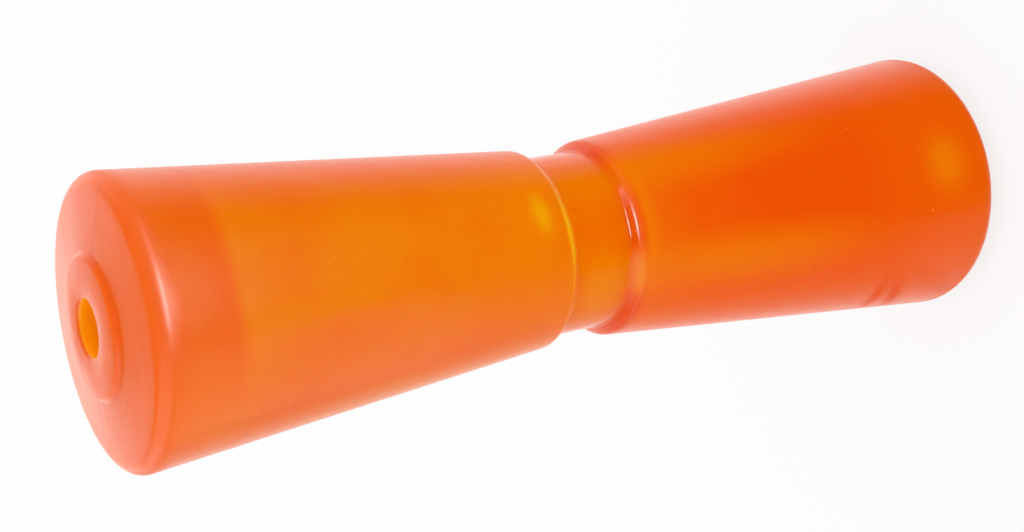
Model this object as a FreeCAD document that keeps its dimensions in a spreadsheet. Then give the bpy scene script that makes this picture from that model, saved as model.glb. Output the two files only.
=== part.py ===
import FreeCAD, Part
import math
import os
import Sketcher

# Boat trailer keel roller, moulded as one piece of polyurethane.
# Two long cones meet at a narrow waist where the keel runs, and a straight
# bore takes the trailer's shaft. It stands on the ring of one hub, its axis
# along +Z and its origin at the middle of that ring.

# Driving sizes in millimetres: alias, value, meaning
SIZES = [
    ("length", 304.8, "over the two hub faces, 12 in"),
    ("bore_diameter", 16.5, "running fit on a 5/8 in shaft"),
    ("waist_diameter", 56.0, "groove at mid-length that the keel sits in"),
    ("waist_length", 19.6, "straight bottom of the groove, along the axis"),
    ("shoulder_diameter", 62.2, "small end of each cone, at its sharp corner"),
    ("shoulder_run", 2.4, "groove wall, along the axis"),
    ("end_diameter", 86.0, "large end of each cone, at its sharp corner"),
    ("face_rise", 2.6, "end face, from its outer corner up to the hub"),
    ("hub_diameter", 42.4, "raised hub that rubs on the bracket"),
    ("hub_height", 3.0, "hub above the end face"),
    ("shoulder_round", 3.0, "radius on top of the groove wall"),
    ("rim_round", 4.2, "radius between cone and end face"),
    ("hub_chamfer", 1.0, "edge of each hub"),
    ("mouth_chamfer", 1.0, "each mouth of the bore"),
]

# Sketcher counts the ends of a line or arc from 1, and -1 is the sketch's own axis across,
# which starts at the origin
START, END = range(1, 3)
ACROSS_AXIS = -1
ORIGIN = (ACROSS_AXIS, START)

# Lengths that differ by less than this many millimetres are the same
SAME = 0.001


def make_sheet(doc):
    """The spreadsheet of driving sizes, one row each."""
    sheet = doc.addObject("Spreadsheet::Sheet", "sizes")
    for row, (alias, value, meaning) in enumerate(SIZES, start=1):
        sheet.set(f"A{row}", alias)
        sheet.set(f"B{row}", str(value))
        sheet.set(f"C{row}", meaning)
        sheet.setAlias(f"B{row}", alias)
    doc.recompute()
    return sheet


def origin_plane(body, role):
    """The body's own origin plane with this role."""
    return next(f for f in body.Origin.OriginFeatures if f.Role == role)


def section_corners(sheet):
    """Sharp corners of the upper half's section, in order: across, along, the cell of its round."""
    bore = sheet.bore_diameter / 2
    waist = sheet.waist_diameter / 2
    hub = sheet.hub_diameter / 2
    groove = sheet.waist_length / 2
    top = sheet.length / 2
    face = top - sheet.hub_height
    return {
        "bore_middle": (bore, 0, None),
        "waist_middle": (waist, 0, None),
        "groove_foot": (waist, groove, None),
        "cone_start": (sheet.shoulder_diameter / 2, groove + sheet.shoulder_run, "shoulder_round"),
        "cone_end": (sheet.end_diameter / 2, face - sheet.face_rise, "rim_round"),
        "hub_foot": (hub, face, None),
        "hub_edge": (hub, top, None),
        "bore_mouth": (bore, top, None),
    }


def round_corner(before, corner, after, radius):
    """Where a round in this corner leaves its two sides, and the round's centre."""
    back = (before - corner).normalize()
    on = (after - corner).normalize()
    half_angle = back.getAngle(on) / 2
    reach = radius / math.tan(half_angle)
    centre = corner + (back + on).normalize() * (radius / math.sin(half_angle))
    return corner + back * reach, corner + on * reach, centre


def add_arc(sketch, first, second, centre, radius):
    """Draws the short arc, and says which of its ends is first: it always runs anticlockwise."""
    begin, finish = (math.atan2(p.y - centre.y, p.x - centre.x) for p in (first, second))
    ends = (START, END)
    if (finish - begin) % (2 * math.pi) > math.pi:
        begin, finish = finish, begin
        ends = (END, START)
    if finish < begin:
        finish += 2 * math.pi
    circle = Part.Circle(centre, FreeCAD.Vector(0, 0, 1), radius)
    return sketch.addGeometry(Part.ArcOfCircle(circle, begin, finish), False), ends


def draw_outline(sketch, sheet, corners):
    """Draws the closed outline. Gives, by corner: the sharp point, the line that leaves it, the arc."""
    names = list(corners)
    sharp = [FreeCAD.Vector(x, y, 0) for x, y, cell in corners.values()]
    starts, finishes, arcs = list(sharp), list(sharp), {}
    for i, (x, y, cell) in enumerate(corners.values()):
        if cell:
            before, after, radius = sharp[i - 1], sharp[(i + 1) % len(sharp)], getattr(sheet, cell)
            finishes[i], starts[i], centre = round_corner(before, sharp[i], after, radius)
            arcs[names[i]] = add_arc(sketch, finishes[i], starts[i], centre, radius)
    lines = {}
    for name, start, finish in zip(names, starts, finishes[1:] + finishes[:1]):
        lines[name] = sketch.addGeometry(Part.LineSegment(start, finish), False)

    points = {}
    for i, name in enumerate(names):
        line_in, line_out = lines[names[i - 1]], lines[name]
        if name in arcs:
            arc, (first, second) = arcs[name]
            sketch.addConstraint(Sketcher.Constraint("Tangent", line_in, END, arc, first))
            sketch.addConstraint(Sketcher.Constraint("Tangent", line_out, START, arc, second))
            point = sketch.addGeometry(Part.Point(sharp[i]), True)
            sketch.addConstraint(Sketcher.Constraint("PointOnObject", point, START, line_in))
            sketch.addConstraint(Sketcher.Constraint("PointOnObject", point, START, line_out))
            points[name] = (point, START)
        else:
            sketch.addConstraint(Sketcher.Constraint("Coincident", line_in, END, line_out, START))
            points[name] = (line_out, START)
    return points, lines, {name: arc for name, (arc, ends) in arcs.items()}


def half_section(body, sheet):
    """Section of the upper half, from the middle of the waist to the hub face."""
    sketch = body.newObject("Sketcher::SketchObject", "half_section")
    sketch.AttachmentSupport = [(origin_plane(body, "XZ_Plane"), "")]
    sketch.MapMode = "FlatFace"

    corners = section_corners(sheet)
    points, lines, arcs = draw_outline(sketch, sheet, corners)
    for name in ("bore_middle", "hub_edge"):
        sketch.addConstraint(Sketcher.Constraint("Horizontal", lines[name]))
    for name in ("waist_middle", "hub_foot", "bore_mouth"):
        sketch.addConstraint(Sketcher.Constraint("Vertical", lines[name]))
    on_axis = Sketcher.Constraint("PointOnObject", *points["bore_middle"], ACROSS_AXIS)
    sketch.addConstraint(on_axis)

    def drive(name, constraint, formula):
        index = sketch.addConstraint(constraint)
        sketch.renameConstraint(index, name)
        sketch.setExpression(f"Constraints.{name}", formula)

    def across(name, corner, formula):
        value = corners[corner][0]
        drive(name, Sketcher.Constraint("DistanceX", *ORIGIN, *points[corner], value), formula)

    def up(name, corner, formula):
        value = corners[corner][1]
        drive(name, Sketcher.Constraint("DistanceY", *ORIGIN, *points[corner], value), formula)

    def step(name, low, high, formula):
        value = corners[high][1] - corners[low][1]
        drive(name, Sketcher.Constraint("DistanceY", *points[low], *points[high], value), formula)

    across("bore_radius", "bore_middle", "sizes.bore_diameter / 2")
    across("waist_radius", "waist_middle", "sizes.waist_diameter / 2")
    across("shoulder_radius", "cone_start", "sizes.shoulder_diameter / 2")
    across("end_radius", "cone_end", "sizes.end_diameter / 2")
    across("hub_radius", "hub_foot", "sizes.hub_diameter / 2")
    up("half_groove", "groove_foot", "sizes.waist_length / 2")
    up("half_length", "hub_edge", "sizes.length / 2")
    step("wall_run", "groove_foot", "cone_start", "sizes.shoulder_run")
    step("rise", "cone_end", "hub_foot", "sizes.face_rise")
    step("hub_step", "hub_foot", "hub_edge", "sizes.hub_height")
    for name, arc in arcs.items():
        cell = corners[name][2]
        drive(cell, Sketcher.Constraint("Radius", arc, getattr(sheet, cell)), f"sizes.{cell}")
    return sketch


def end_edges(shape, radius, height):
    """Names of the circular edges of this radius, at this height above and below the middle."""
    names = []
    for number, edge in enumerate(shape.Edges, start=1):
        curve = edge.Curve
        if (
            isinstance(curve, Part.Circle)
            and math.isclose(curve.Radius, radius, abs_tol=SAME)
            and math.isclose(abs(curve.Center.z), height, abs_tol=SAME)
        ):
            names.append(f"Edge{number}")
    return names


def make_roller(doc, sheet):
    """The whole roller: its upper half turned round the bore, mirrored, then chamfered."""
    body = doc.addObject("PartDesign::Body", "keel_roller")
    body.Label = "keel_roller"
    sketch = half_section(body, sheet)

    half = body.newObject("PartDesign::Revolution", "upper_half")
    half.Profile = sketch
    half.ReferenceAxis = (sketch, ["V_Axis"])
    half.Angle = 360
    doc.recompute()

    feature = body.newObject("PartDesign::Mirrored", "both_halves")
    feature.Originals = [half]
    feature.MirrorPlane = (origin_plane(body, "XY_Plane"), [""])
    feature.Refine = True
    body.Tip = feature
    doc.recompute()

    edge_radii = {"hub_chamfer": sheet.hub_diameter / 2, "mouth_chamfer": sheet.bore_diameter / 2}
    for cell, radius in edge_radii.items():
        edges = end_edges(feature.Shape, radius, sheet.length / 2)
        chamfer = body.newObject("PartDesign::Chamfer", cell)
        chamfer.Base = (feature, edges)
        chamfer.setExpression("Size", f"sizes.{cell}")
        doc.recompute()
        feature = chamfer

    body.setExpression("Placement.Base.z", "sizes.length / 2")
    doc.recompute()
    return body


def check(doc, pieces):
    """Stops on any failed object, and on a piece that isn't one valid solid."""
    for item in doc.Objects:
        if {"Invalid", "Error"} & set(item.State):
            raise RuntimeError(f"{item.Name} failed: {item.State}")
        if item.TypeId == "Sketcher::SketchObject" and not item.FullyConstrained:
            raise RuntimeError(f"{item.Name} isn't fully constrained")
    for piece in pieces:
        shape = piece.Shape
        if shape.isNull() or not shape.isValid() or len(shape.Solids) != 1:
            raise RuntimeError(f"{piece.Label} isn't one valid solid")


doc = FreeCAD.newDocument("boat_trailer_roller")
sheet = make_sheet(doc)
pieces = [make_roller(doc, sheet)]
check(doc, pieces)
os.makedirs("parts", exist_ok=True)
for piece in pieces:
    piece.Shape.exportStep(f"parts/{piece.Label}.step")
    box = piece.Shape.optimalBoundingBox(False, False)
    print(f"{piece.Label}: {box.XLength:.2f} x {box.YLength:.2f} x {box.ZLength:.2f} mm,"
          f" {piece.Shape.Volume / 1000:.1f} cm3")
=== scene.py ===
import math

import bpy
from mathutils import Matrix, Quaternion, Vector


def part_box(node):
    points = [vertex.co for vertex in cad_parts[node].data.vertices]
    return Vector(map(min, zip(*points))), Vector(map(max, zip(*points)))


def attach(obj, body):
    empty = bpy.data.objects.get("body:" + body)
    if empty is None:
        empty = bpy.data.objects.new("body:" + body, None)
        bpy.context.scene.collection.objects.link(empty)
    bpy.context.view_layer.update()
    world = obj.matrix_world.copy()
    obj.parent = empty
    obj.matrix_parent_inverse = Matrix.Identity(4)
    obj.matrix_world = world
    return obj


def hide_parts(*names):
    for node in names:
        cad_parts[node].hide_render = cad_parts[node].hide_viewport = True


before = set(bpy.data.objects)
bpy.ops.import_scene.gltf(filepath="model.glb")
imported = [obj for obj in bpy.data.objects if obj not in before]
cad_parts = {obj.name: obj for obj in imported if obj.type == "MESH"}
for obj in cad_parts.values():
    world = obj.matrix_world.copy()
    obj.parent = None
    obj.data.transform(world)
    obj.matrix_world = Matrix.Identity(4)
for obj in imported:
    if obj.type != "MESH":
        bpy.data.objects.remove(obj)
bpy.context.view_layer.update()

# The camera.
# It looks down on the standing roller from the side, and is rolled so that
# the roller lies across the picture with its upper end at the left.

VIEW_AZIMUTH = -65.05       # degrees from +X to the lens, anticlockwise seen from above
VIEW_ELEVATION = 30.90
VIEW_DISTANCE = 0.6001      # metres from the middle of the roller
VIEW_ROLL = -100.49
AIM_OFFSET = Vector((-0.00693, 0.00452, 0.01245))
LENS = 67.16                # mm
SENSOR_WIDTH = 36.0         # mm

low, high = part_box("keel_roller")
middle = (low + high) / 2


def direction(azimuth, elevation):
    """Unit vector at an azimuth from +X and an elevation above the floor, in degrees."""
    turn, rise = math.radians(azimuth), math.radians(elevation)
    return Vector((math.cos(rise) * math.cos(turn), math.cos(rise) * math.sin(turn), math.sin(rise)))


camera = bpy.data.objects.new("camera", bpy.data.cameras.new("camera"))
camera.data.lens = LENS
camera.data.sensor_width = SENSOR_WIDTH
camera.data.clip_start = 0.01
camera.location = middle + VIEW_DISTANCE * direction(VIEW_AZIMUTH, VIEW_ELEVATION)
upright = (middle + AIM_OFFSET - camera.location).to_track_quat("-Z", "Y")
camera.rotation_mode = "QUATERNION"
camera.rotation_quaternion = upright @ Quaternion((0, 0, 1), math.radians(VIEW_ROLL))
bpy.context.scene.collection.objects.link(camera)
bpy.context.scene.camera = camera

# The roller.
# One casting of translucent polyurethane, poured or injected round a core pin
# in a two-part mould. Its parting line runs along both sides and over the ends.

MM = 0.001
LENGTH = high.z - low.z
END_RADIUS = 43.2 * MM      # large end of a cone, at its sharp corner
END_ROUND = 4.6 * MM
SHOULDER_RADIUS = 31.1 * MM
SHOULDER_ROUND = 3.0 * MM
WAIST_RADIUS = 28.0 * MM
WAIST_ROUND = 1.8 * MM
HALF_GROOVE = 9.8 * MM      # half the straight bottom of the groove
GROOVE_WALL = 2.4 * MM      # along the axis
FACE_RISE = 2.8 * MM        # from the end face's outer corner up to the hub
HUB_HEIGHT = 2.4 * MM
HUB_FOOT_RADIUS = 21.4 * MM
HUB_FOOT_ROUND = 0.7 * MM
HUB_EDGE_RADIUS = 19.9 * MM
HUB_EDGE_ROUND = 0.9 * MM
HUB_EDGE_DROP = 0.8 * MM    # from the crown of the hub's face down to its edge
CROWN_RADIUS = 13.5 * MM
CROWN_ROUND = 30.0 * MM
BORE_RADIUS = 8.25 * MM
MOUTH_DROP = 0.5 * MM       # from the crown down to the bore
MOUTH_ROUND = 1.2 * MM

RING_STEP = 2.4 * MM        # spacing of the rings along a cone
ARC_STEP = math.radians(9)
ROUND_COUNT = 116           # points round each half, between the parting lines
SEAM_HEIGHT = 0.03 * MM     # the parting line, above the skin
SEAM_OFFSETS = (0.60 * MM, 1.20 * MM)       # the points nearest to it on each side
SEAM_INNER = BORE_RADIUS + 1.6 * MM         # on the end faces it starts at this radius
SEAM_FOOT = 0.5 * MM        # the lower hub stands flat, so it stops this far above the floor


def upper_outline():
    """Upper half of the section: radius, height above the middle, and the round in that corner."""
    top = LENGTH / 2
    face = top - HUB_HEIGHT
    return [
        (WAIST_RADIUS, 0, 0),
        (WAIST_RADIUS, HALF_GROOVE, WAIST_ROUND),
        (SHOULDER_RADIUS, HALF_GROOVE + GROOVE_WALL, SHOULDER_ROUND),
        (END_RADIUS, face - FACE_RISE, END_ROUND),
        (HUB_FOOT_RADIUS, face, HUB_FOOT_ROUND),
        (HUB_EDGE_RADIUS, top - HUB_EDGE_DROP, HUB_EDGE_ROUND),
        (CROWN_RADIUS, top, CROWN_ROUND),
        (BORE_RADIUS, top - MOUTH_DROP, MOUTH_ROUND),
        (BORE_RADIUS, 0, 0),
    ]


def rounded(corners):
    """Points along an outline, with an arc in each corner that has a round."""
    sharp = [Vector((radius, height)) for radius, height, bend in corners]
    points = [sharp[0]]
    for i in range(1, len(corners) - 1):
        bend = corners[i][2]
        back = (sharp[i - 1] - sharp[i]).normalized()
        on = (sharp[i + 1] - sharp[i]).normalized()
        half_angle = back.angle(on) / 2
        centre = sharp[i] + (back + on).normalized() * bend / math.sin(half_angle)
        first = sharp[i] + back * bend / math.tan(half_angle) - centre
        sweep = math.pi - 2 * half_angle
        if back.x * on.y - back.y * on.x > 0:
            sweep = -sweep
        steps = max(2, round(abs(sweep) / ARC_STEP))
        for k in range(steps + 1):
            angle = sweep * k / steps
            swung = Vector((first.x * math.cos(angle) - first.y * math.sin(angle),
                            first.x * math.sin(angle) + first.y * math.cos(angle)))
            points.append(centre + swung)
    points.append(sharp[-1])
    return points


def divided(points, step):
    """The same outline with long stretches cut into pieces no longer than the step."""
    result = [points[0]]
    for start, end in zip(points, points[1:]):
        pieces = max(1, math.ceil((end - start).length / step))
        result += [start.lerp(end, k / pieces) for k in range(1, pieces + 1)]
    return result


def ring_angles(radius):
    """Angles round one ring, closer beside the two parting lines."""
    near = [offset / radius for offset in SEAM_OFFSETS]
    inner = [near[-1] + (math.pi - 2 * near[-1]) * k / (ROUND_COUNT + 1) for k in range(1, ROUND_COUNT + 1)]
    half_ring = [0.0, *near, *inner, *(math.pi - a for a in reversed(near))]
    return half_ring + [math.pi + a for a in half_ring]


upper = divided(rounded(upper_outline()), RING_STEP)
outline = upper[:-1] + [Vector((p.x, -p.y)) for p in reversed(upper)][:-1]

vertices = []
for i, point in enumerate(outline):
    tangent = (outline[(i + 1) % len(outline)] - outline[i - 1]).normalized()
    raised = point + Vector((tangent.y, -tangent.x)) * SEAM_HEIGHT
    angles = ring_angles(point.x)
    count = len(angles)
    for k, angle in enumerate(angles):
        on_seam = k in (0, count // 2) and point.x > SEAM_INNER and point.y > SEAM_FOOT - LENGTH / 2
        across, up = raised if on_seam else point
        vertices.append((across * math.cos(angle), across * math.sin(angle), middle.z + up))
faces = []
for i in range(len(outline)):
    this_ring, next_ring = i * count, (i + 1) % len(outline) * count
    for k in range(count):
        after = (k + 1) % count
        faces.append((this_ring + k, this_ring + after, next_ring + after, next_ring + k))

mesh = bpy.data.meshes.new("roller_moulding")
mesh.from_pydata(vertices, [], faces)
mesh.shade_smooth()
roller = bpy.data.objects.new("roller_moulding", mesh)
bpy.context.scene.collection.objects.link(roller)
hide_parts("keel_roller")
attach(roller, "root")


def linear(hex_colour):
    """An sRGB hex colour such as #FF8000 as linear RGBA."""
    parts = [int(hex_colour[i:i + 2], 16) / 255 for i in (1, 3, 5)]
    return (*(c / 12.92 if c <= 0.04045 else ((c + 0.055) / 1.055) ** 2.4 for c in parts), 1.0)


def add_node(tree, kind, settings=None, inputs=None):
    """Adds a node, with its settings, and its inputs as plain values or as links from other nodes."""
    node = tree.nodes.new(kind)
    for name, value in (settings or {}).items():
        setattr(node, name, value)
    for name, value in (inputs or {}).items():
        if isinstance(value, bpy.types.NodeSocket):
            tree.links.new(value, node.inputs[name])
        else:
            node.inputs[name].default_value = value
    return node


# Cast polyurethane, dyed orange and clear enough for light to pass deep into it. The eye sees a glowing
# orange under a smooth moulded skin, and the colour paints that light in: yellow painted glow on two opposite
# flanks, redder painted shade on the sides between, painted shade bands on the groove wall and rims, and a
# painted reflection at the shoulder.

PAINTED_GLOW_FLANKS = [            # colours from the lower end to the upper, on the flanks with painted glow
    (0.000, "#F96600"),
    (0.035, "#F76A00"),
    (0.110, "#F66600"),
    (0.200, "#F45C00"),
    (0.300, "#F35A00"),
    (0.380, "#F66400"),
    (0.430, "#F67000"),
    (0.449, "#FA8200"),
    (0.457, "#F26200"),
    (0.464, "#F06000"),
    (0.470, "#F87800"),
    (0.520, "#FA7E00"),
    (0.532, "#FA8600"),
    (0.565, "#FB8C00"),
    (0.620, "#FB8800"),
    (0.760, "#FC8C00"),
    (0.892, "#FC8A00"),
    (0.912, "#F46E00"),
    (0.950, "#F07200"),
    (0.976, "#EC6A00"),
    (0.986, "#F26800"),
    (1.000, "#F26600"),
]
PAINTED_SHADE_FLANKS = [            # and on the two sides between, with painted shade
    (0.000, "#F36400"),
    (0.200, "#F86400"),
    (0.330, "#F86600"),
    (0.447, "#F86C00"),
    (0.458, "#EC5400"),
    (0.465, "#EC5400"),
    (0.474, "#FA7400"),
    (0.530, "#FB7800"),
    (0.660, "#FA6E00"),
    (0.820, "#F96A00"),
    (0.950, "#F46C00"),
    (1.000, "#F26600"),
]
PAINTED_GLOW_AZIMUTH = math.radians(-58)       # the flanks with painted glow face this way and its opposite
FIRST, SECOND, MIXED = 6, 7, 2          # the Mix node's two colours in and its colour out

polyurethane = bpy.data.materials.new("cast_polyurethane")
polyurethane.use_nodes = True
tree = polyurethane.node_tree
tree.nodes.clear()
place = add_node(tree, "ShaderNodeTexCoord").outputs["Object"]
split = add_node(tree, "ShaderNodeSeparateXYZ", inputs={0: place})
along = add_node(tree, "ShaderNodeMath", {"operation": "DIVIDE"}, {0: split.outputs["Z"], 1: LENGTH})
azimuth = add_node(tree, "ShaderNodeMath", {"operation": "ARCTAN2"},
                   {0: split.outputs["Y"], 1: split.outputs["X"]})
# A wave round the roller, highest on the two flanks with painted glow.
twice = add_node(tree, "ShaderNodeMath", {"operation": "MULTIPLY_ADD"},
                 {0: azimuth.outputs[0], 1: 2.0, 2: -2 * PAINTED_GLOW_AZIMUTH})
wave = add_node(tree, "ShaderNodeMath", {"operation": "COSINE"}, {0: twice.outputs[0]})
# clear: the share of painted glow, against painted shade, at each point round the roller
clear = add_node(tree, "ShaderNodeMapRange",
                 inputs={"Value": wave.outputs[0], "From Min": -0.5, "From Max": 0.9})
flanks = []
for stops in (PAINTED_SHADE_FLANKS, PAINTED_GLOW_FLANKS):
    ramp = add_node(tree, "ShaderNodeValToRGB", inputs={"Fac": along.outputs[0]})
    ramp.color_ramp.interpolation = "EASE"
    while len(ramp.color_ramp.elements) < len(stops):
        ramp.color_ramp.elements.new(1.0)
    for element, (position, colour) in zip(ramp.color_ramp.elements, stops):
        element.position = position
        element.color = linear(colour)
    flanks.append(ramp.outputs["Color"])
body = add_node(tree, "ShaderNodeMix", {"data_type": "RGBA"},
                {"Factor": clear.outputs[0], FIRST: flanks[0], SECOND: flanks[1]}).outputs[MIXED]

# Faint clouds in the colour.
CLOUD_SIZE = 22 * MM
CLOUD_COLOUR = "#F36000"
noise = add_node(tree, "ShaderNodeTexNoise", inputs={"Vector": place, "Scale": 1 / CLOUD_SIZE, "Detail": 2.0})
cloud = add_node(tree, "ShaderNodeMapRange", inputs={
    "Value": noise.outputs["Fac"], "From Min": 0.48, "From Max": 0.75, "To Max": 0.30,
})
body = add_node(tree, "ShaderNodeMix", {"data_type": "RGBA"},
                {"Factor": cloud.outputs[0], FIRST: body, SECOND: linear(CLOUD_COLOUR)}).outputs[MIXED]

# Painted light and shade in patches, yellow painted glow where light gathers in the casting and redder
# painted shade where less comes through:
# height and azimuth of the middle, half lengths along and across in mm, colour, strength. They lie on the
# skin unrolled at one radius.
UNROLLED_RADIUS = 36 * MM
GLOW_AND_SHADE_PATCHES = [
    (132, -29, 88, 15, "#FC8A00", 0.60),
    (104, -89, 72, 14, "#FC8A00", 0.65),
    (173, -47, 5, 11, "#FFBC00", 0.62),
    (24, -60, 12, 13, "#FF9400", 0.62),
    (163.9, -57, 2.8, 22, "#FFBC00", 0.90),
    (152, -100, 13, 26, "#FFA800", 0.36),
    (140.5, -91, 3.8, 14, "#FF9000", 0.75),
    (283, -108, 24, 24, "#FB8600", 0.45),
    (255, -14, 22, 14, "#F47200", 0.60),
    (243, -88, 34, 11, "#F46C00", 0.50),
    (225, -138, 75, 20, "#FC8C00", 0.50),
    (150, 14, 260, 26, "#F25600", 0.50),
    (120, 95, 80, 16, "#FC8A00", 0.60),
    (196, 148, 70, 15, "#FF9600", 0.60),
]
arc = add_node(tree, "ShaderNodeMath", {"operation": "MULTIPLY"},
               {0: azimuth.outputs[0], 1: UNROLLED_RADIUS})
unrolled = add_node(tree, "ShaderNodeCombineXYZ",
                    inputs={"X": arc.outputs[0], "Y": split.outputs["Z"]}).outputs[0]
for height, turn, half_length, half_width, colour, strength in GLOW_AND_SHADE_PATCHES:
    spot = add_node(tree, "ShaderNodeMapping", {"vector_type": "TEXTURE"}, {
        "Vector": unrolled,
        "Location": (math.radians(turn) * UNROLLED_RADIUS, height * MM, 0),
        "Scale": (half_width * MM, half_length * MM, 1),
    })
    fade = add_node(tree, "ShaderNodeTexGradient", {"gradient_type": "SPHERICAL"},
                    {"Vector": spot.outputs[0]})
    painted_patch = add_node(tree, "ShaderNodeMapRange", {"interpolation_type": "SMOOTHSTEP"}, {
        "Value": fade.outputs["Fac"], "From Max": 0.9, "To Max": strength,
    })
    body = add_node(tree, "ShaderNodeMix", {"data_type": "RGBA"},
                    {"Factor": painted_patch.outputs[0], FIRST: body, SECOND: linear(colour)}).outputs[MIXED]

# Painted shade along the parting line's low ridge, a little darker where it crosses the end faces.
SEAM_SHADE_COLOUR = "#E45408"
off_seam = add_node(tree, "ShaderNodeMath", {"operation": "ABSOLUTE"}, {0: split.outputs["Y"]})
seam_shade = add_node(tree, "ShaderNodeMapRange", {"interpolation_type": "SMOOTHSTEP"}, {
    "Value": off_seam.outputs[0], "From Min": 1.4 * MM, "From Max": 0.2 * MM, "To Max": 0.40,
})
above_middle = add_node(tree, "ShaderNodeMath", {"operation": "SUBTRACT"}, {0: along.outputs[0], 1: 0.5})
from_middle = add_node(tree, "ShaderNodeMath", {"operation": "ABSOLUTE"}, {0: above_middle.outputs[0]})
on_face = add_node(tree, "ShaderNodeMapRange", inputs={
    "Value": from_middle.outputs[0], "From Min": 0.475, "From Max": 0.485,
})
face_seam_shade = add_node(tree, "ShaderNodeMath", {"operation": "MULTIPLY"},
                     {0: seam_shade.outputs[0], 1: on_face.outputs[0]})
body = add_node(tree, "ShaderNodeMix", {"data_type": "RGBA"},
                {"Factor": face_seam_shade.outputs[0], FIRST: body, SECOND: linear(SEAM_SHADE_COLOUR)}).outputs[MIXED]

# A few pale specks scattered over the cones.
SPECK_SPACING = 30 * MM    # about one speck in a square of this size
SPECK_RADIUS = 0.5 * MM    # where a speck starts to show, and where it shows in full
SPECK_CORE = 0.2 * MM
SPECK_COLOUR = "#FFB060"
on_cone = add_node(tree, "ShaderNodeMapRange", inputs={
    "Value": from_middle.outputs[0], "From Min": 0.44, "From Max": 0.42, "To Max": 0.45,
})
cells = add_node(tree, "ShaderNodeTexVoronoi", {"voronoi_dimensions": "2D"},
                 {"Vector": unrolled, "Scale": 1 / SPECK_SPACING})
speck = add_node(tree, "ShaderNodeMapRange", {"interpolation_type": "SMOOTHSTEP"}, {
    "Value": cells.outputs["Distance"],
    "From Min": SPECK_RADIUS / SPECK_SPACING,
    "From Max": SPECK_CORE / SPECK_SPACING,
    "To Max": on_cone.outputs[0],
})
body = add_node(tree, "ShaderNodeMix", {"data_type": "RGBA"},
                {"Factor": speck.outputs[0], FIRST: body, SECOND: linear(SPECK_COLOUR)}).outputs[MIXED]

# The wall of the bore has painted glow: a yellow colour and a faint emission stand in for the light that
# comes through the casting.
BORE_GLOW_COLOUR = "#FFA800"
BORE_LIGHT = "#FFB400"
BORE_STRENGTH = 0.07
flat = add_node(tree, "ShaderNodeVectorMath", {"operation": "MULTIPLY"}, {0: place, 1: (1, 1, 0)})
from_axis = add_node(tree, "ShaderNodeVectorMath", {"operation": "LENGTH"}, {0: flat.outputs[0]})
in_bore = add_node(tree, "ShaderNodeMapRange", inputs={
    "Value": from_axis.outputs["Value"],
    "From Min": BORE_RADIUS + 0.02 * MM,
    "From Max": BORE_RADIUS + 0.30 * MM,
    "To Min": 1.0,
    "To Max": 0.0,
})
body = add_node(tree, "ShaderNodeMix", {"data_type": "RGBA"},
                {"Factor": in_bore.outputs[0], FIRST: body, SECOND: linear(BORE_GLOW_COLOUR)}).outputs[MIXED]
bore_glow = add_node(tree, "ShaderNodeMath", {"operation": "MULTIPLY"},
                     {0: in_bore.outputs[0], 1: BORE_STRENGTH})

# Two shallow dull red dents near the lower end: height and azimuth of the middle, half lengths
# along and across in mm, degrees of tilt.
DENTS = [
    (42.4, -134, 4.4, 18, 9),
    (34.4, -134, 4.4, 18, 22),
]
DENT_COLOUR = "#E84C00"
DENT_DEPTH = 0.12 * MM
dent = 0.0
for height, turn, half_length, half_width, tilt in DENTS:
    spot = add_node(tree, "ShaderNodeMapping", {"vector_type": "TEXTURE"}, {
        "Vector": unrolled,
        "Location": (math.radians(turn) * UNROLLED_RADIUS, height * MM, 0),
        "Rotation": (0, 0, math.radians(tilt)),
        "Scale": (half_width * MM, half_length * MM, 1),
    })
    fade = add_node(tree, "ShaderNodeTexGradient", {"gradient_type": "SPHERICAL"},
                    {"Vector": spot.outputs[0]})
    dent = add_node(tree, "ShaderNodeMath", {"operation": "ADD"},
                    {0: fade.outputs["Fac"], 1: dent}).outputs[0]
body = add_node(tree, "ShaderNodeMix", {"data_type": "RGBA"},
                {"Factor": dent, FIRST: body, SECOND: linear(DENT_COLOUR)}).outputs[MIXED]

# The moulded skin has slow ripples, and a fine grain that is drawn coarse enough to show.
RIPPLE_SIZE = 9 * MM
RIPPLE_HEIGHT = 0.20 * MM
GRAIN_SIZE = 0.8 * MM
GRAIN_HEIGHT = 0.03 * MM
ripple = add_node(tree, "ShaderNodeTexNoise",
                  inputs={"Vector": place, "Scale": 1 / RIPPLE_SIZE, "Detail": 1.0})
grain = add_node(tree, "ShaderNodeTexNoise",
                 inputs={"Vector": place, "Scale": 1 / GRAIN_SIZE, "Detail": 1.0})
dented = add_node(tree, "ShaderNodeBump", {"invert": True}, {"Height": dent, "Distance": DENT_DEPTH})
rippled = add_node(tree, "ShaderNodeBump", inputs={
    "Height": ripple.outputs["Fac"], "Distance": RIPPLE_HEIGHT, "Normal": dented.outputs["Normal"],
})
skin = add_node(tree, "ShaderNodeBump", inputs={
    "Height": grain.outputs["Fac"], "Distance": GRAIN_HEIGHT, "Normal": rippled.outputs["Normal"],
})

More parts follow.
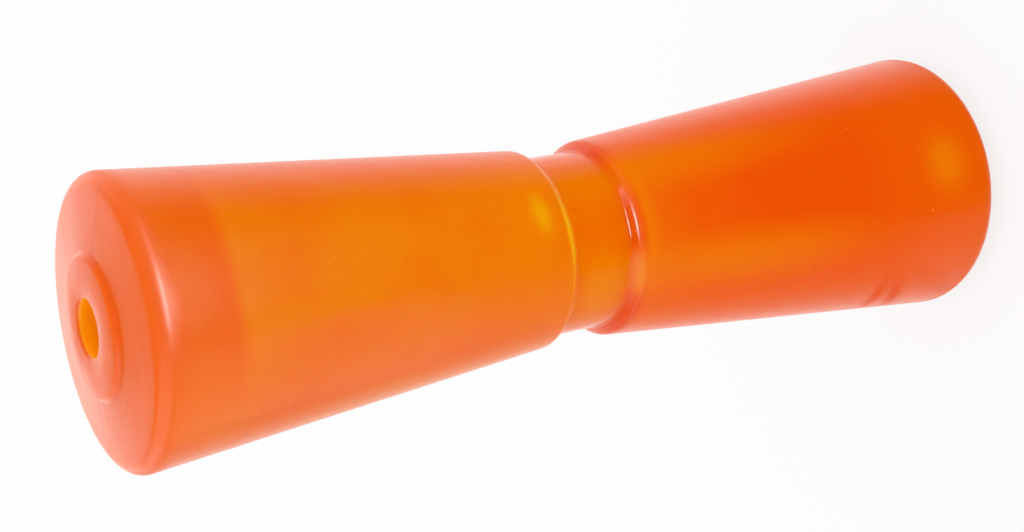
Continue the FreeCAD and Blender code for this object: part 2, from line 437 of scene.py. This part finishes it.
# The skin is smoothest in the groove, and roughest round the rim of each large end.
GROOVE_ROUGHNESS = 0.10
CONE_ROUGHNESS = 0.28
RIM_EXTRA = 0.11
GROOVE_EDGES = [            # shares of the length where the groove's skin ends and the cone's starts
    (0.463, 0.460),
    (0.531, 0.535),
]
beyond = []
for groove_end, cone_start in GROOVE_EDGES:
    change = add_node(tree, "ShaderNodeMapRange", {"interpolation_type": "SMOOTHSTEP"}, {
        "Value": along.outputs[0],
        "From Min": groove_end,
        "From Max": cone_start,
        "To Min": GROOVE_ROUGHNESS,
        "To Max": CONE_ROUGHNESS,
    })
    beyond.append(change.outputs[0])
from_groove = add_node(tree, "ShaderNodeMath", {"operation": "MAXIMUM"}, {0: beyond[0], 1: beyond[1]})
on_rim = add_node(tree, "ShaderNodeMapRange", inputs={
    "Value": from_middle.outputs[0], "From Min": 0.458, "From Max": 0.468, "To Max": RIM_EXTRA,
})
inside_rim = add_node(tree, "ShaderNodeMapRange", inputs={
    "Value": from_middle.outputs[0], "From Min": 0.475, "From Max": 0.486, "To Min": 1.0, "To Max": 0.0,
})
rough = add_node(tree, "ShaderNodeMath", {"operation": "MULTIPLY_ADD"},
                 {0: on_rim.outputs[0], 1: inside_rim.outputs[0], 2: from_groove.outputs[0]})

# The keel has rubbed the upper edge of the groove dull, and the dents are dull too.
WORN_AZIMUTH = -100
WORN_HEIGHT = 163.8 * MM
WORN_HALF_WIDTH = 48 * MM
WORN_HALF_LENGTH = 2.6 * MM
SKIN_GLOSS = 0.5
DULL_GLOSS = 0.05
worn = add_node(tree, "ShaderNodeMapping", {"vector_type": "TEXTURE"}, {
    "Vector": unrolled,
    "Location": (math.radians(WORN_AZIMUTH) * UNROLLED_RADIUS, WORN_HEIGHT, 0),
    "Scale": (WORN_HALF_WIDTH, WORN_HALF_LENGTH, 1),
})
fade = add_node(tree, "ShaderNodeTexGradient", {"gradient_type": "SPHERICAL"}, {"Vector": worn.outputs[0]})
dull = add_node(tree, "ShaderNodeMath", {"operation": "ADD"}, {0: dent, 1: fade.outputs["Fac"]})
gloss = add_node(tree, "ShaderNodeMapRange", inputs={
    "Value": dull.outputs[0], "From Max": 0.65, "To Min": SKIN_GLOSS, "To Max": DULL_GLOSS,
})

shader = add_node(tree, "ShaderNodeBsdfPrincipled", inputs={
    "Base Color": body,
    "Roughness": rough.outputs[0],
    "IOR": 1.5,
    "Specular IOR Level": gloss.outputs[0],
    "Normal": skin.outputs["Normal"],
    "Subsurface Weight": 1.0,
    "Subsurface Radius": (1.0, 0.35, 0.08),     # red light goes deepest
    "Subsurface Scale": 15 * MM,
    # the painted glow of the bore wall
    "Emission Color": linear(BORE_LIGHT),
    "Emission Strength": bore_glow.outputs[0],
})
add_node(tree, "ShaderNodeOutputMaterial", inputs={"Surface": shader.outputs["BSDF"]})
mesh.materials.append(polyurethane)

# The light.
# A white tent all round the roller lights it evenly. The tent is open in front and overhead and dim
# at one side, which shows in the gloss alone, as do a softbox close beside the upper end and cards.

OPENING_AZIMUTH = -42.6
DIM_AZIMUTH = -139.6
FIRST_NUMBER, SECOND_NUMBER = 2, 3      # the Mix node's two numbers in

world = bpy.data.worlds.new("tent")
bpy.context.scene.world = world
world.use_nodes = True
tree = world.node_tree
tree.nodes.clear()
ray = add_node(tree, "ShaderNodeTexCoord").outputs["Generated"]
to_opening = add_node(tree, "ShaderNodeVectorMath", {"operation": "DOT_PRODUCT"},
                      {0: ray, 1: direction(OPENING_AZIMUTH, 0)})
front = add_node(tree, "ShaderNodeMapRange", inputs={
    "Value": to_opening.outputs["Value"], "From Min": 0.46, "From Max": -0.22, "To Max": 1.06,
})
to_dim_side = add_node(tree, "ShaderNodeVectorMath", {"operation": "DOT_PRODUCT"},
                       {0: ray, 1: direction(DIM_AZIMUTH, 0)})
side = add_node(tree, "ShaderNodeMapRange", inputs={
    "Value": to_dim_side.outputs["Value"], "From Min": 0.95, "From Max": 0.12, "To Min": 0.22,
})
climb = add_node(tree, "ShaderNodeSeparateXYZ", inputs={0: ray})
overhead = add_node(tree, "ShaderNodeMapRange", inputs={
    "Value": climb.outputs["Z"], "From Min": 0.66, "From Max": 0.36,
})
openings = add_node(tree, "ShaderNodeMath", {"operation": "MULTIPLY"},
                    {0: front.outputs[0], 1: overhead.outputs[0]})
seen = add_node(tree, "ShaderNodeMath", {"operation": "MULTIPLY"},
                {0: openings.outputs[0], 1: side.outputs[0]})
in_gloss = add_node(tree, "ShaderNodeLightPath").outputs["Is Glossy Ray"]
brightness = add_node(tree, "ShaderNodeMix", {"data_type": "FLOAT"},
                      {"Factor": in_gloss, FIRST_NUMBER: 1.0, SECOND_NUMBER: seen.outputs[0]})
background = add_node(tree, "ShaderNodeBackground",
                      inputs={"Color": (1, 1, 1, 1), "Strength": brightness.outputs[0]})
add_node(tree, "ShaderNodeOutputWorld", inputs={"Surface": background.outputs[0]})


def light_sheet(name, width, height, radiance):
    """A rectangle of white light, sized in metres, that shows in the gloss alone."""
    sheet = bpy.data.objects.new(name, bpy.data.lights.new(name, "AREA"))
    sheet.data.shape = "RECTANGLE"
    sheet.data.size = width
    sheet.data.size_y = height
    sheet.data.energy = radiance * math.pi * width * height
    sheet.visible_diffuse = False
    sheet.visible_camera = False
    bpy.context.scene.collection.objects.link(sheet)
    return sheet


SOFTBOX_WIDTH = 0.085
SOFTBOX_HEIGHT = 0.040
SOFTBOX_RADIANCE = 21.0
SOFTBOX_PLACE = Vector((0.076, -0.114, 0.279))
SOFTBOX_TARGET = Vector((0.02, -0.03, 0.22))
softbox = light_sheet("softbox", SOFTBOX_WIDTH, SOFTBOX_HEIGHT, SOFTBOX_RADIANCE)
softbox.location = SOFTBOX_PLACE
softbox.rotation_euler = (SOFTBOX_TARGET - softbox.location).to_track_quat("-Z", "Y").to_euler()

# The cards: azimuth, distance from the axis, height of the middle, lean, width and height, and
# radiance, in degrees and metres.
CARDS = [
    (-128, 0.200, 0.165, -15, 0.30, 0.17, 0.55),
    (-50, 0.300, 0.145, -25, 0.44, 0.09, 0.30),
    (-150, 0.250, 0.590, 0, 0.60, 0.55, 0.85),
    (-25, 0.115, 0.285, 0, 0.09, 0.035, 2.20),
    (110, 0.250, 0.322, 0, 0.40, 0.05, 0.58),
    (-112, 0.064, 0.0005, -89, 0.050, 0.056, 0.26),
]
for turn, distance, height, lean, wide, tall, radiance in CARDS:
    card = light_sheet("card", wide, tall, radiance)
    card.location = distance * direction(turn, 0) + Vector((0, 0, height))
    card.rotation_euler = direction(turn, lean).to_track_quat("Z", "Y").to_euler()

# The floor.
# A sheet of smooth white paper, laid flat. It looks plain white to the eye, apart
# from the roller's soft shadow.

FLOOR_SIZE = 20.0
PAPER_COLOUR = "#F8F8F8"
PAPER_GLOW = 0.8            # how much of what the camera sees of the paper is plain white

reach = FLOOR_SIZE / 2
corners = [(-reach, -reach, 0), (reach, -reach, 0), (reach, reach, 0), (-reach, reach, 0)]
floor_mesh = bpy.data.meshes.new("floor")
floor_mesh.from_pydata(corners, [], [(0, 1, 2, 3)])
floor = bpy.data.objects.new("floor", floor_mesh)
floor.location.z = low.z
floor.visible_glossy = False
bpy.context.scene.collection.objects.link(floor)
paper = bpy.data.materials.new("white_paper")
paper.use_nodes = True
paper.cycles.emission_sampling = "NONE"
tree = paper.node_tree
tree.nodes.clear()
diffuse = add_node(tree, "ShaderNodeBsdfDiffuse", inputs={"Color": linear(PAPER_COLOUR)})
glow = add_node(tree, "ShaderNodeEmission", inputs={"Strength": 1.0})
by_camera = add_node(tree, "ShaderNodeLightPath").outputs["Is Camera Ray"]
share = add_node(tree, "ShaderNodeMath", {"operation": "MULTIPLY"}, {0: by_camera, 1: PAPER_GLOW})
surface = add_node(tree, "ShaderNodeMixShader",
                   inputs={0: share.outputs[0], 1: diffuse.outputs[0], 2: glow.outputs[0]})
add_node(tree, "ShaderNodeOutputMaterial", inputs={"Surface": surface.outputs[0]})
floor_mesh.materials.append(paper)

bpy.context.scene.view_settings.view_transform = "Standard"
